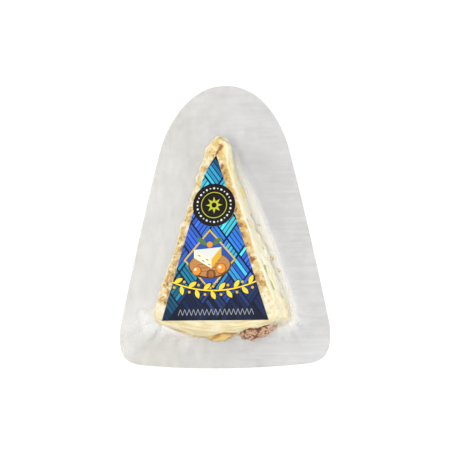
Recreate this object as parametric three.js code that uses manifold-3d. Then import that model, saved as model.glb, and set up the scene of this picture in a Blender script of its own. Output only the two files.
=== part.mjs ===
// A wedge of blue cheese with walnut and apricot, vacuum-packed in a clear pouch and lying on its back.
// Millimetres, +Z up. The origin is the centre of the pouch's underside. The wedge's tip points along +Y and its
// round rind faces -Y. The pouch is a flat sealed sheet whose film rises in a skirt to the wedge's sides, and a
// paper label with a round seal lies on the wedge's top face.
import * as THREE from "three";
import { mergeVertices } from "three/addons/utils/BufferGeometryUtils.js";
import Module from "manifold-3d";

const wasm = await Module();
wasm.setup();

// ---------- driving dimensions ----------
const GAP = 0.3; // clearance between neighbouring pieces

const PACK = {
  length: 172,
  sheet: 0.6, // both webs of film, sealed together
  domeHandle: 22, // how far the round end runs level before it turns down
  shoulder: [40.5, 43],
  shoulderHandle: [36.1, 63],
  flank: [52.8, -7], // the flanks bow out a little through here
  hip: [63.3, -62],
  hipHandle: [64.2, -78],
  heelHandle: [60, -82.2],
  heel: [50, -83.6],
  hemHandle: 25,
};

const WEDGE = {
  centre: [2.3, 54.8], // the middle of the whole cheese that the wedge was cut from
  radius: 121.6,
  halfAngle: THREE.MathUtils.degToRad(17.7),
  lean: THREE.MathUtils.degToRad(0.2),
  cornerRound: 5.5,
  underside: 0.95,
  top: 42,
  bottomEdge: 1.8,
  topEdge: 2.4,
  tipDroop: 1.3, // how far the top face sinks towards the tip
};

// The blunt tip is a round that lies to the right of the middle line, measured from the whole cheese's middle.
const TIP = {
  at: [3.3, -15.2],
  round: 4.9,
  leftEnd: 21.3, // where the straight cut faces end, along each
  rightEnd: 28.7,
  lean: [-3.1, 1.4], // how far its foot lies from under its top
  leanTop: 32,
  leanFrom: 20,
  leanTo: 36,
  belly: 1.5,
  bellyHeight: 27,
};

const RIND = {
  lipHeight: 32, // the rind's upper lip stands proud here
  lipProud: 0.7,
  lipNose: 1.7, // and more so at its nose
  noseAt: -3,
  noseWidth: 6,
  lipFade: 0.9, // it draws back over the walnut
  fadeFrom: 16,
  fadeTo: 22,
  cornerFade: 1.2, // and towards the left corner
  cornerFrom: -28,
  cornerTo: -12,
  bellyHeight: 18, // left of the fruit, the rind bellies out here
  bellyProud: 3.3,
  bellyIn: 0.4, // but not at the corner
  bellyFrom: -29,
  bellyTo: -12,
  recess: 2.4, // and over the fruit it is scooped out
  recessFrom: -9,
  recessTo: 0,
};

// The soft cut faces sag outwards below near the rind, and lean in towards the tip.
const SAG = { from: 40, to: 14, tip: -0.8, rind: 1.9, leftShare: 0.5, farY: 4, nearY: -24, topIn: 0.6 };
const BOW = { proud: 1.2, at: -48, width: 13 }; // both cut faces bow out here

const WALNUT = { at: [24.9, -63.1, 19], half: [11.9, 6.1, 8.6], turn: 0.45, folds: 0.09 };
const APRICOT = { at: [2.4, -65.5, 17.4], half: [10.9, 5.3, 6.8], turn: 0.16, folds: 0.025 };

const SKIRT = {
  rim: 0.85, // from the cheese to the skirt's outer face at its upper edge
  sideReach: 7.2,
  tipReach: 1.6,
  rindReach: 3.6,
  slimFrom: 6, // towards the tip the sides reach out less and less
  slimTo: 36,
  cornerBlend: 5, // neighbouring plan points over which its sizes blend at the corners
  sideLift: 10,
  heelLift: 17, // the sides' film leaves the wedge higher near the rind
  heelFrom: -30,
  heelTo: -52,
  tipLift: 9,
  rindLift: 12,
  curve: 1.3, // 1 is a straight slope, 2 a hollow one
};

const LABEL = {
  apex: [4, 33.2],
  leftShoulder: [-3, 21.2],
  shoulderHandle: [0.5, 29],
  left: [-27, -61],
  right: [33.9, -61.5],
  thick: 0.3,
};

const SEAL = { at: [3.1, 4], radius: 12.3, thick: 0.3 };

// ---------- small maths ----------
const { smoothstep, lerp } = THREE.MathUtils;
const bump = (value, middle, width) => Math.exp(-(((value - middle) / width) ** 2));

// Slow waves in three directions, between about -1 and 1.
function unevenness(x, y, z) {
  const a = Math.sin(0.31 * x + 0.13 * y + 0.21 * z);
  const b = Math.sin(0.11 * x - 0.27 * y + 0.33 * z + 1.7);
  const c = Math.sin(0.47 * x + 0.39 * y - 0.26 * z + 4.1);
  return (a + b + 0.7 * c) / 2.7;
}

// ---------- solids from rings ----------
// A closed surface from loops of equal length, stacked upwards and each counter-clockwise from above, with one
// point below the first loop and one above the last.
function ringGeometry(below, loops, above) {
  const count = loops[0].length;
  const points = [below, ...loops.flat(), above];
  const last = points.length - 1;
  const at = (loop, i) => 1 + loop * count + (i % count);
  const faces = [];
  for (let i = 0; i < count; i++) {
    faces.push(0, at(0, i + 1), at(0, i));
    faces.push(last, at(loops.length - 1, i), at(loops.length - 1, i + 1));
    for (let k = 0; k + 1 < loops.length; k++) {
      faces.push(at(k, i), at(k, i + 1), at(k + 1, i + 1));
      faces.push(at(k, i), at(k + 1, i + 1), at(k + 1, i));
    }
  }
  return new THREE.BufferGeometry().setFromPoints(points).setIndex(faces);
}

function middleOf(loop) {
  const sum = loop.reduce((total, p) => total.add(p), new THREE.Vector3());
  return sum.divideScalar(loop.length);
}

// Loops that shrink a loop towards its middle, for filling a face.
function fillLoops(loop, shares, height) {
  const middle = middleOf(loop);
  return shares.map((share) =>
    loop.map((p) => {
      const q = p.clone().lerp(middle, 1 - share);
      q.z = height(q.x, q.y);
      return q;
    }),
  );
}

// ---------- joining and cutting ----------
function toSolid(geometry) {
  const bare = geometry.clone();
  bare.deleteAttribute("normal");
  bare.deleteAttribute("uv");
  const merged = mergeVertices(bare, 1e-4);
  return new wasm.Manifold(
    new wasm.Mesh({
      numProp: 3,
      vertProperties: merged.attributes.position.array,
      triVerts: new Uint32Array(merged.index.array),
    }),
  );
}

function toGeometry(solid) {
  const mesh = solid.getMesh();
  const geometry = new THREE.BufferGeometry();
  geometry.setAttribute("position", new THREE.BufferAttribute(mesh.vertProperties, 3));
  geometry.setIndex(new THREE.BufferAttribute(mesh.triVerts, 1));
  geometry.computeVertexNormals();
  return geometry;
}

// ---------- the wedge's plan ----------
// Where a straight line from a point meets the tip's round: the round's angle there, on the side given by turn.
function tipTangent(from, turn) {
  const away = from.clone().sub(new THREE.Vector2(...TIP.at));
  return away.angle() + turn * Math.acos(TIP.round / away.length());
}

// Points round a sector with a blunt tip and round corners, counter-clockwise, each with its outward direction.
function wedgePlan(count) {
  const { radius, halfAngle, cornerRound, centre, lean } = WEDGE;
  const cornerAngle = halfAngle - Math.asin(cornerRound / (radius - cornerRound));
  const corner = new THREE.Vector2(Math.sin(cornerAngle), -Math.cos(cornerAngle));
  corner.multiplyScalar(radius - cornerRound);
  const down = -Math.PI / 2;
  const sideEnd = (reach, side) =>
    new THREE.Vector2(side * Math.sin(halfAngle), -Math.cos(halfAngle)).multiplyScalar(reach);
  const rightEnd = sideEnd(TIP.rightEnd, 1);
  const leftEnd = sideEnd(TIP.leftEnd, -1);
  const rightTangent = tipTangent(rightEnd, 1) - 2 * Math.PI;
  const path = new THREE.Path();
  path.absarc(...TIP.at, TIP.round, rightTangent, tipTangent(leftEnd, -1), false);
  path.lineTo(leftEnd.x, leftEnd.y);
  path.absarc(-corner.x, corner.y, cornerRound, Math.PI - halfAngle, 2 * Math.PI + down - cornerAngle, false);
  path.absarc(0, 0, radius, down - cornerAngle, down + cornerAngle, false);
  path.absarc(corner.x, corner.y, cornerRound, down + cornerAngle, halfAngle, false);
  path.lineTo(rightEnd.x, rightEnd.y);
  path.closePath();
  const middle = new THREE.Vector2(centre[0], centre[1]);
  const spots = path.getSpacedPoints(count).slice(0, count);
  spots.forEach((p) => p.rotateAround(new THREE.Vector2(), lean).add(middle));
  return spots.map((at, i) => {
    const along = spots[(i + 1) % count].clone().sub(spots[(i + count - 1) % count]);
    return { at, out: new THREE.Vector2(along.y, -along.x).normalize() };
  });
}

const rindShare = (spot) => smoothstep(-spot.out.y, 0.5, 0.85);
const tipShare = (spot) => smoothstep(spot.out.y, 0.45, 0.85);

// Height of the wedge's top face: slightly uneven, and sinking towards the tip.
function topHeight(x, y) {
  const droop = WEDGE.tipDroop * smoothstep(y, 5, 43);
  return WEDGE.top - droop + 0.3 * unevenness(0.5 * x, 0.5 * y, 0);
}

function rindProud(x, z) {
  const overFruit = smoothstep(x, RIND.recessFrom, RIND.recessTo);
  const nose = RIND.lipNose * bump(x, RIND.noseAt, RIND.noseWidth);
  const fade = RIND.lipFade * smoothstep(x, RIND.fadeFrom, RIND.fadeTo);
  const cornerFade = RIND.cornerFade * (1 - smoothstep(x, RIND.cornerFrom, RIND.cornerTo));
  const lip = (RIND.lipProud + nose - fade - cornerFade) * bump(z, RIND.lipHeight, 7);
  const swell = RIND.bellyProud * smoothstep(x, RIND.bellyFrom, RIND.bellyTo) - RIND.bellyIn;
  const belly = (1 - overFruit) * swell * bump(z, RIND.bellyHeight, 12);
  const scoop = overFruit * RIND.recess * bump(z, RIND.bellyHeight - 2, 10);
  return lip + belly - scoop;
}

function cutProud(spot, z) {
  const low = 1 - smoothstep(z, SAG.to, SAG.from);
  const amount = lerp(SAG.rind, SAG.tip, smoothstep(spot.at.y, SAG.nearY, SAG.farY));
  const side = spot.out.x > 0 ? 1 : SAG.leftShare;
  return side * amount * low - SAG.topIn * (1 - low) + BOW.proud * bump(spot.at.y, BOW.at, BOW.width);
}

// The plan's point at a height, with the tip's lean.
function leaned(spot, z) {
  const share = smoothstep(spot.at.y, TIP.leanFrom, TIP.leanTo) * (1 - smoothstep(z, 0, TIP.leanTop));
  return new THREE.Vector2(...TIP.lean).multiplyScalar(share).add(spot.at);
}

// How far the side stands out of the plain sector at a height.
function sideProud(spot, z) {
  const { x, y } = spot.at;
  const tip = tipShare(spot);
  const cut = lerp(cutProud(spot, z), TIP.belly * bump(z, TIP.bellyHeight, 9), tip);
  return lerp(cut, rindProud(x, z), rindShare(spot)) + 0.45 * unevenness(x, y, z);
}

// A point of the side at a height, a distance out from the plan.
function sidePoint(spot, out, z) {
  const at = leaned(spot, z);
  return new THREE.Vector3(at.x + spot.out.x * out, at.y + spot.out.y * out, z);
}

// ---------- the pieces ----------
const PLAN_COUNT = 96;
const plan = wedgePlan(PLAN_COUNT);

function cheeseSolid(grow = 0) {
  const floor = WEDGE.underside - grow;
  const levelLoop = (inset, z) => plan.map((spot) => sidePoint(spot, sideProud(spot, z) + grow - inset, z));
  const roundSteps = [0.33, 0.67];
  const foot = [0, ...roundSteps].map((t) => {
    const angle = (t * Math.PI) / 2;
    return levelLoop(WEDGE.bottomEdge * (1 - Math.sin(angle)), floor + WEDGE.bottomEdge * (1 - Math.cos(angle)));
  });
  const sideTop = WEDGE.top - WEDGE.topEdge;
  const sideFoot = floor + WEDGE.bottomEdge;
  const sideCount = 7;
  const side = Array.from({ length: sideCount }, (_, k) =>
    levelLoop(0, lerp(sideFoot, sideTop - 2, k / (sideCount - 1))),
  );
  // The upper edge rolls over onto the top face, whose height changes from place to place.
  const brow = [0, ...roundSteps, 1].map((t) => {
    const angle = (t * Math.PI) / 2;
    const loop = levelLoop(WEDGE.topEdge * (1 - Math.cos(angle)), sideTop);
    loop.forEach((p) => (p.z = topHeight(p.x, p.y) + grow - WEDGE.topEdge * (1 - Math.sin(angle))));
    return loop;
  });
  const face = fillLoops(brow[brow.length - 1], [0.75, 0.35], (x, y) => topHeight(x, y) + grow);
  const base = fillLoops(foot[0], [0.5], () => floor);
  const crown = middleOf(face[1]);
  crown.z = topHeight(crown.x, crown.y) + grow;
  return toSolid(ringGeometry(middleOf(base[0]), [...base, ...foot, ...side, ...brow, ...face], crown));
}

// A lump with folds over its surface, as a kernel or a piece of dried fruit.
function lumpSolid({ at, half, turn, folds }, round, levels, grow = 0) {
  const place = new THREE.Matrix4().makeRotationZ(turn).setPosition(...at);
  const spotOn = (lift, way) => {
    const level = Math.cos(lift);
    const crease = Math.sin(5 * way + 4 * lift) * Math.cos(3 * way - 7 * lift) + 0.6 * Math.sin(11 * way) * level;
    const size = 1 + folds * crease * level;
    return new THREE.Vector3(
      (half[0] + grow) * size * level * Math.cos(way),
      (half[1] + grow) * size * level * Math.sin(way),
      (half[2] + grow) * size * Math.sin(lift),
    ).applyMatrix4(place);
  };
  const loops = Array.from({ length: levels }, (_, k) => {
    const lift = ((k + 1) / (levels + 1) - 0.5) * Math.PI;
    return Array.from({ length: round }, (_, i) => spotOn(lift, (i / round) * 2 * Math.PI));
  });
  return toSolid(ringGeometry(spotOn(-Math.PI / 2, 0), loops, spotOn(Math.PI / 2, 0)));
}

const walnutSolid = (grow) => lumpSolid(WALNUT, 30, 14, grow);
const apricotSolid = (grow) => lumpSolid(APRICOT, 20, 9, grow);

function sheetShape() {
  const p = PACK;
  const top = p.length / 2;
  const shape = new THREE.Shape();
  shape.moveTo(0, top);
  shape.bezierCurveTo(-p.domeHandle, top, -p.shoulderHandle[0], p.shoulderHandle[1], -p.shoulder[0], p.shoulder[1]);
  shape.quadraticCurveTo(-p.flank[0], p.flank[1], -p.hip[0], p.hip[1]);
  shape.bezierCurveTo(-p.hipHandle[0], p.hipHandle[1], -p.heelHandle[0], p.heelHandle[1], -p.heel[0], p.heel[1]);
  shape.quadraticCurveTo(-p.hemHandle, -top, 0, -top);
  shape.quadraticCurveTo(p.hemHandle, -top, p.heel[0], p.heel[1]);
  shape.bezierCurveTo(p.heelHandle[0], p.heelHandle[1], p.hipHandle[0], p.hipHandle[1], p.hip[0], p.hip[1]);
  shape.quadraticCurveTo(p.flank[0], p.flank[1], p.shoulder[0], p.shoulder[1]);
  shape.bezierCurveTo(p.shoulderHandle[0], p.shoulderHandle[1], p.domeHandle, top, 0, top);
  return shape;
}

// Each value averaged with its neighbours round a closed row.
function blendRound(values, spread) {
  const count = values.length;
  const steps = Array.from({ length: 2 * spread + 1 }, (_, k) => k - spread);
  return values.map((_, i) => steps.reduce((sum, k) => sum + values[(i + k + count) % count], 0) / steps.length);
}

function skirtSizes() {
  const mix = (spot, side, tip, rind) => lerp(lerp(side, tip, tipShare(spot)), rind, rindShare(spot));
  const reaches = plan.map((spot) => {
    const slim = smoothstep(spot.at.y, SKIRT.slimFrom, SKIRT.slimTo);
    return mix(spot, lerp(SKIRT.sideReach, SKIRT.tipReach, slim), SKIRT.tipReach, SKIRT.rindReach);
  });
  const lifts = plan.map((spot) => {
    const heel = 1 - smoothstep(spot.at.y, SKIRT.heelTo, SKIRT.heelFrom);
    return mix(spot, lerp(SKIRT.sideLift, SKIRT.heelLift, heel), SKIRT.tipLift, SKIRT.rindLift);
  });
  return { reaches: blendRound(reaches, SKIRT.cornerBlend), lifts: blendRound(lifts, SKIRT.cornerBlend) };
}

// The space between the film and the wedge's sides, as one solid that also fills the wedge's own plan.
function skirtSolid() {
  const steps = 5;
  const { reaches, lifts } = skirtSizes();
  const foot = PACK.sheet / 2;
  const loops = Array.from({ length: steps + 1 }, (_, k) => {
    const t = k / steps;
    return plan.map((spot, i) => {
      const z = PACK.sheet + (lifts[i] - PACK.sheet) * t ** SKIRT.curve;
      const close = sideProud(spot, z) + SKIRT.rim;
      return sidePoint(spot, lerp(close, Math.max(reaches[i], close), (1 - t) ** SKIRT.curve), z);
    });
  });
  const sole = loops[0].map((p) => new THREE.Vector3(p.x, p.y, foot));
  const below = middleOf(sole);
  const above = new THREE.Vector3(below.x, below.y, SKIRT.rindLift);
  return toSolid(ringGeometry(below, [sole, ...loops], above));
}

function pouchGeometry() {
  const sheet = new THREE.ExtrudeGeometry(sheetShape(), { depth: PACK.sheet, bevelEnabled: false, curveSegments: 14 });
  return toGeometry(
    toSolid(sheet)
      .add(skirtSolid())
      .subtract(cheeseSolid(GAP))
      .subtract(walnutSolid(GAP))
      .subtract(apricotSolid(GAP)),
  );
}

function cheeseGeometry() {
  return toGeometry(cheeseSolid().subtract(walnutSolid(GAP)).subtract(apricotSolid(GAP)));
}

// A thin sheet that follows the wedge's top face at a height above it.
function stickerGeometry(outline, clear, thick, shares) {
  const rim = outline.map((p) => new THREE.Vector3(p.x, p.y, 0));
  const layer = (order, lift) => fillLoops(rim, order, (x, y) => topHeight(x, y) + lift);
  const lower = layer([...shares].reverse(), clear);
  const upper = layer(shares, clear + thick);
  const middle = middleOf(rim);
  const pole = (lift) => new THREE.Vector3(middle.x, middle.y, topHeight(middle.x, middle.y) + lift);
  return ringGeometry(pole(clear), [...lower, ...upper], pole(clear + thick));
}

function labelOutline() {
  const path = new THREE.Path();
  path.moveTo(...LABEL.apex);
  path.quadraticCurveTo(...LABEL.shoulderHandle, ...LABEL.leftShoulder);
  path.lineTo(...LABEL.left);
  path.lineTo(...LABEL.right);
  path.closePath();
  return path.curves.flatMap((curve, i) => {
    const count = [6, 14, 10, 15][i];
    return curve.getSpacedPoints(count).slice(0, count);
  });
}

function sealOutline() {
  const circle = new THREE.Path().absarc(...SEAL.at, SEAL.radius, 0, 2 * Math.PI, false);
  return circle.getSpacedPoints(48).slice(0, 48);
}

// ---------- materials ----------
const material = (color, roughness, more = {}) =>
  new THREE.MeshStandardMaterial({ color, roughness, metalness: 0, ...more });

const filmFinish = material("#d9d9d6", 0.25, { transparent: true, opacity: 0.6 });
const cheeseFinish = material("#f1e3b0", 0.55);
const walnutFinish = material("#8a5a3c", 0.7);
const apricotFinish = material("#d79a3c", 0.5);
const labelFinish = material("#1d5f9e", 0.4);
const sealFinish = material("#1b1917", 0.4);

// ---------- assembly ----------
const wedgePack = new THREE.Group();

function addPiece(name, geometry, finish) {
  const mesh = new THREE.Mesh(geometry, finish);
  mesh.name = name;
  wedgePack.add(mesh);
}

addPiece("pouch", pouchGeometry(), filmFinish);
addPiece("cheese_wedge", cheeseGeometry(), cheeseFinish);
addPiece("walnut_piece", toGeometry(walnutSolid()), walnutFinish);
addPiece("apricot_piece", toGeometry(apricotSolid()), apricotFinish);

const labelClear = GAP;
addPiece("label", stickerGeometry(labelOutline(), labelClear, LABEL.thick, [1, 0.7, 0.35]), labelFinish);

const sealClear = labelClear + LABEL.thick + GAP;
addPiece("seal", stickerGeometry(sealOutline(), sealClear, SEAL.thick, [1, 0.6]), sealFinish);

export default wedgePack;
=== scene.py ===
"""A vacuum-packed wedge of blue cheese: cheese, walnut, apricot, clear film, printed label and round seal."""

from math import cos, dist, pi, radians, sin, sqrt

import bpy
import numpy as np
from mathutils import Matrix, Vector
from mathutils.bvhtree import BVHTree
from mathutils.geometry import delaunay_2d_cdt


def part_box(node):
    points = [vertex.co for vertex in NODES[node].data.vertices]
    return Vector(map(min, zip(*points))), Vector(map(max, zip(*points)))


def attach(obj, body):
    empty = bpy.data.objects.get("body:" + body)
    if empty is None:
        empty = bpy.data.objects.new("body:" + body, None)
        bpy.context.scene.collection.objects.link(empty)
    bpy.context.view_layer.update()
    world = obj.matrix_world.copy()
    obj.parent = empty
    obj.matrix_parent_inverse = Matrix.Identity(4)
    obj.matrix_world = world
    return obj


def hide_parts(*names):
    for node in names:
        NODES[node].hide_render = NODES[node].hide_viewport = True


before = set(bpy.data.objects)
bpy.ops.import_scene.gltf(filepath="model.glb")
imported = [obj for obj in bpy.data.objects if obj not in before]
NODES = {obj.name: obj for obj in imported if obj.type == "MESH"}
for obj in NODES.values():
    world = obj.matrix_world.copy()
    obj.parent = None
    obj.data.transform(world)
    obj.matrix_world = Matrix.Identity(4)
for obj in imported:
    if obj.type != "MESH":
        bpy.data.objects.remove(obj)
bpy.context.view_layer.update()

MM = 0.001

# ---------- sizes shared with the CAD, in millimetres ----------
CENTRE = np.array([2.3, 54.8])  # the middle of the whole cheese that the wedge was cut from
RADIUS = 121.6
HALF_ANGLE = radians(17.7)
LEAN = radians(0.2)
TOP = 42.0
LABEL_TOP = np.array([(4, 33.2), (0.5, 29), (-3, 21.2)])  # apex, the handle that bends the edge, and shoulder
LABEL_FOOT = [(-27, -61), (33.9, -61.5)]
SEAL_AT = np.array([3.1, 4.0])
SEAL_RADIUS = 12.3
SEAL_DOTS, SEAL_RING = 9.7, 7.3  # radii of its print

# ---------- colours, as sRGB out of 255 ----------
PASTE_PALE = (243, 238, 214)
PASTE_YELLOW = (238, 220, 146)
PASTE_GREY = (232, 226, 206)
SKIN_CREAM = (232, 225, 202)
SKIN_YELLOW = (216, 194, 131)
SKIN_TIP = (236, 222, 150)
SKIN_TAN = (183, 139, 74)
SKIN_GOLD = (211, 173, 88)
SKIN_BROWN = (140, 80, 36)
VEIN = (164, 172, 54)
FRUIT_BIT = (247, 220, 84)
NUT_BIT = (186, 140, 104)
RIND_CREAM = (222, 212, 171)
RIND_STREAK = (211, 190, 134)
RIND_TAN = (198, 158, 98)
WALNUT_DARK = (86, 42, 22)
WALNUT_MID = (142, 88, 48)
WALNUT_LIGHT = (199, 163, 130)
APRICOT_DARK = (164, 112, 42)
APRICOT_LIGHT = (214, 180, 90)
FILM_HAZE_AND_SHEEN = (229, 229, 228)
FILM_WARM = (242, 235, 214)
FILM_LEFT = (157, 152, 138)
FILM_RIGHT = (149, 147, 147)
FILM_SHADE = (130, 132, 148)
CRUMB_DARK = (200, 164, 56)
CRUMB_LIGHT = (226, 200, 96)
FLOOR_DULL = (250, 250, 250)
FLOOR_LIGHT = (253, 253, 253)


def linear(rgb):
    """sRGB out of 255 to a linear colour with alpha."""
    c = np.array(rgb, float) / 255
    c = np.where(c <= 0.04045, c / 12.92, ((c + 0.055) / 1.055) ** 2.4)
    return (*c.tolist(), 1.0)


# ---------- small maths ----------
def ease(value, low, high):
    """A smooth step from 0 at the low value to 1 at the high one."""
    t = np.clip((value - low) / (high - low), 0, 1)
    return t * t * (3 - 2 * t)


def blotches(points, size, seed, waves=22):
    """A smooth random field of unit variance, with patches of about half that size."""
    rng = np.random.default_rng(seed)
    ways = rng.normal(size=(waves, points.shape[1]))
    ways /= np.linalg.norm(ways, axis=1)[:, None]
    ways *= (2 * pi / (size * rng.uniform(0.65, 1.6, waves)))[:, None]
    phases = rng.uniform(0, 2 * pi, waves)
    return np.sin(points @ ways.T + phases).sum(1) * sqrt(2 / waves)


def bump_at(points, spots):
    """Soft spots in plan: each is (x, y, radius, strength)."""
    total = np.zeros(len(points))
    for x, y, radius, strength in spots:
        d2 = (points[:, 0] - x) ** 2 + (points[:, 1] - y) ** 2
        total += strength * np.exp(-d2 / (0.8 * radius) ** 2)
    return total


def line_places(points, start, end):
    """Each point's place along a line, 0 at its start and 1 at its end, and its distance from the line."""
    start, run = np.array(start, float), np.subtract(end, start, dtype=float)
    place = (points - start) @ run / (run @ run)
    return place, np.linalg.norm(points - start - np.clip(place, 0, 1)[:, None] * run, axis=1)


# ---------- meshes ----------
def new_object(name, data):
    piece = bpy.data.objects.new(name, data)
    bpy.context.scene.collection.objects.link(piece)
    return piece


def smooth_object(name, points_mm, faces):
    mesh = bpy.data.meshes.new(name)
    mesh.from_pydata((np.asarray(points_mm) * MM).tolist(), [], faces)
    mesh.validate()
    mesh.shade_smooth()
    return new_object(name, mesh)


def vectors_of(mesh, kind):
    """The mesh's points or normals as rows."""
    values = np.empty(len(mesh.vertices) * 3, np.float32)
    mesh.vertices.foreach_get(kind, values)
    return values.reshape(-1, 3).astype(float)


def points_of(mesh):
    return vectors_of(mesh, "co") / MM


def push_out(mesh, shift):
    """Moves a mesh's points along its normals."""
    points = points_of(mesh) + vectors_of(mesh, "normal") * shift[:, None]
    mesh.vertices.foreach_set("co", (points * MM).astype(np.float32).ravel())
    mesh.update()


def set_attributes(mesh, shares):
    for name, values in shares.items():
        attribute = mesh.attributes.new(name, "FLOAT", "POINT")
        attribute.data.foreach_set("value", np.asarray(values, np.float32))


def ring_faces(first, rows, around):
    """Faces between rings of points that follow each other."""
    faces = []
    for low in range(first, first + (rows - 1) * around, around):
        for i in range(around):
            j = (i + 1) % around
            faces.append([low + i, low + j, low + around + j, low + around + i])
    return faces


def fine_copy(node, name, voxel_mm, smooth_steps):
    """A fine, even, smoothed mesh of a CAD node."""
    piece = new_object(name, NODES[node].data.copy())
    remesh = piece.modifiers.new("even", "REMESH")
    remesh.mode = "VOXEL"
    remesh.voxel_size = voxel_mm * MM
    remesh.use_smooth_shade = True
    smooth = piece.modifiers.new("soft", "SMOOTH")
    smooth.iterations = smooth_steps
    smooth.factor = 0.5
    bpy.context.view_layer.update()
    fine = bpy.data.meshes.new_from_object(piece.evaluated_get(bpy.context.evaluated_depsgraph_get()))
    piece.modifiers.clear()
    piece.data = fine
    fine.materials.clear()
    fine.shade_smooth()
    return piece


def tree_of(pieces):
    """One ray-cast tree over several meshes, in millimetres."""
    points, faces = [], []
    for piece in pieces:
        first = len(points)
        points += points_of(piece.data).tolist()
        faces += [[first + v for v in polygon.vertices] for polygon in piece.data.polygons]
    return BVHTree.FromPolygons(points, faces)


# ---------- node helpers ----------
MOIST = {"Coat_Weight": 0.3, "Coat_Roughness": 0.2}
SOFT = {"Subsurface_Weight": 0.2, "Subsurface_Scale": 1.0}


class Shader:
    """The node tree of a material or a world, with short calls for the nodes used here.

    Plain colours are sRGB out of 255, and s["name"] is a value that the mesh carries at each point.
    """

    def __init__(self, name, world=False):
        self.owner = (bpy.data.worlds if world else bpy.data.materials).new(name)
        self.owner.use_nodes = True
        self.tree = self.owner.node_tree
        self.surface = self.tree.nodes["Background" if world else "Principled BSDF"]
        self.coords = self.node("TexCoord", {})["Generated" if world else "Object"]

    def put(self, socket, value):
        if isinstance(value, bpy.types.NodeSocket):
            self.tree.links.new(value, socket)
        else:
            socket.default_value = linear(value) if socket.type == "RGBA" else value

    def node(self, kind, given, **settings):
        """The outputs of a new node with the given inputs."""
        node = self.tree.nodes.new("ShaderNode" + kind)
        for name, value in settings.items():
            setattr(node, name, value)
        for key, value in given.items():
            self.put(node.inputs[key], value)
        return node.outputs

    def __getitem__(self, name):
        return self.node("Attribute", {}, attribute_name=name)["Fac"]

    def stretched(self, x, y, z):
        return self.node("Mapping", {"Vector": self.coords, "Scale": (x, y, z)})["Vector"]

    def noise(self, size_mm, detail=3.0, rough=0.55, vector=None, distort=0.0):
        return self.node("TexNoise", {
            "Vector": vector or self.coords, "Scale": 1 / (size_mm * MM), "Detail": detail,
            "Roughness": rough, "Distortion": distort,
        })["Fac"]

    def edges(self, size_mm):
        """Distance to the edges of random cells, as a share of their size."""
        given = {"Vector": self.coords, "Scale": 1 / (size_mm * MM)}
        return self.node("TexVoronoi", given, feature="DISTANCE_TO_EDGE")["Distance"]

    def maths(self, operation, a, b):
        return self.node("Math", {0: a, 1: b}, operation=operation)[0]

    def plus(self, a, b):
        return self.maths("ADD", a, b)

    def times(self, a, b):
        return self.maths("MULTIPLY", a, b)

    def rest(self, share):
        return self.maths("SUBTRACT", 1.0, share)

    def swing(self, field, strength):
        """A field about a half turned into one about nothing, this strong."""
        return self.times(self.maths("SUBTRACT", field, 0.5), strength)

    def ranged(self, value, low, high, to_low=0.0, to_high=1.0, kind="SMOOTHSTEP"):
        given = {"Value": value, "From Min": low, "From Max": high, "To Min": to_low, "To Max": to_high}
        return self.node("MapRange", given, interpolation_type=kind)["Result"]

    def mix(self, share, a, b):
        # a Mix node's colour sockets come after those of its other types
        return self.node("Mix", {"Factor": share, 6: a, 7: b}, data_type="RGBA")[2]

    def bump(self, height, distance_mm, strength=1.0):
        return self.node("Bump", {"Strength": strength, "Distance": distance_mm * MM, "Height": height})["Normal"]

    def finish(self, **sockets):
        for name, value in sockets.items():
            self.put(self.surface.inputs[name.replace("_", " ")], value)
        return self.owner


def dress(piece, material):
    piece.data.materials.append(material)
    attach(piece, "root")


# ---------- the cheese ----------
# Marks in the top face's skin, in plan: both ends, half width and strength.
GOLD_MARKS = [
    (-1.5, 35, 3.5, 40, 2.4, 0.35), (5, 38, 7.5, 34, 1.6, 0.6), (8.6, 26, 10.6, 20, 1.6, 0.9),
    (11.6, 16, 13.5, 9, 1.6, 0.7), (15.6, 3, 17.5, -3, 1.6, 0.8), (18.3, -6, 22, -8.6, 1.4, 1.0),
    (19.4, -10, 20.8, -14, 1.5, 0.9), (22, -15, 23.8, -19.5, 1.8, 0.7), (24.2, -22, 25, -25, 1.3, 0.5),
    (33.5, -43.2, 35.5, -45.8, 1.0, 0.5), (-4, 26, -6.5, 17, 1.3, 0.5), (-8.5, 10, -11.5, 0, 1.2, 0.4),
    (-14.4, -8, -15.6, -12.5, 1.2, 0.8), (-16, -15, -18, -19, 1.2, 0.5), (-22, -32.9, -24, -37.9, 1.2, 0.9),
    (-25.3, -51, -25.6, -53, 0.9, 0.9),
]
BROWN_MARKS = [
    (6.2, 43.9, 9.4, 41.4, 0.6, 0.9), (6.9, 38.6, 4.4, 34.6, 0.9, 1.8), (5.8, 36.2, 3.6, 33.6, 0.8, 1.4),
    (2.6, 42, 1.6, 41.2, 0.6, 0.8), (7.5, 27.2, 7, 25.6, 0.8, 1.1), (9, 24.2, 10.8, 21.6, 0.9, 0.6),
    (10.4, 19.6, 11.6, 17, 0.8, 0.5), (18.6, -7.2, 21.6, -9.2, 0.7, 0.6), (18.5, -11.6, 19.6, -14.6, 0.8, 0.8),
    (23, -24.6, 24.6, -28.4, 1.1, 0.9), (24.3, -26.4, 24.8, -27.2, 0.5, 1.2), (26.6, -36, 27, -37.2, 0.6, 0.9),
    (27.9, -38, 30.8, -41.8, 1.7, 0.75), (33.6, -43.2, 35.4, -45.6, 0.8, 0.4), (-15.1, -10.1, -18, -17.5, 0.5, 0.8),
    (-14.8, -18.2, -16.2, -23.5, 0.8, 0.5), (-18.6, -27.8, -19.2, -30, 0.8, 0.9), (-20.4, -33, -21.6, -38, 1.4, 0.5),
    (-22, -32.9, -24.3, -37.9, 0.8, 0.6), (-23.4, -44.8, -24, -47.2, 0.8, 0.9), (-24.2, -48, -25.4, -52, 0.8, 0.5),
]
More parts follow.
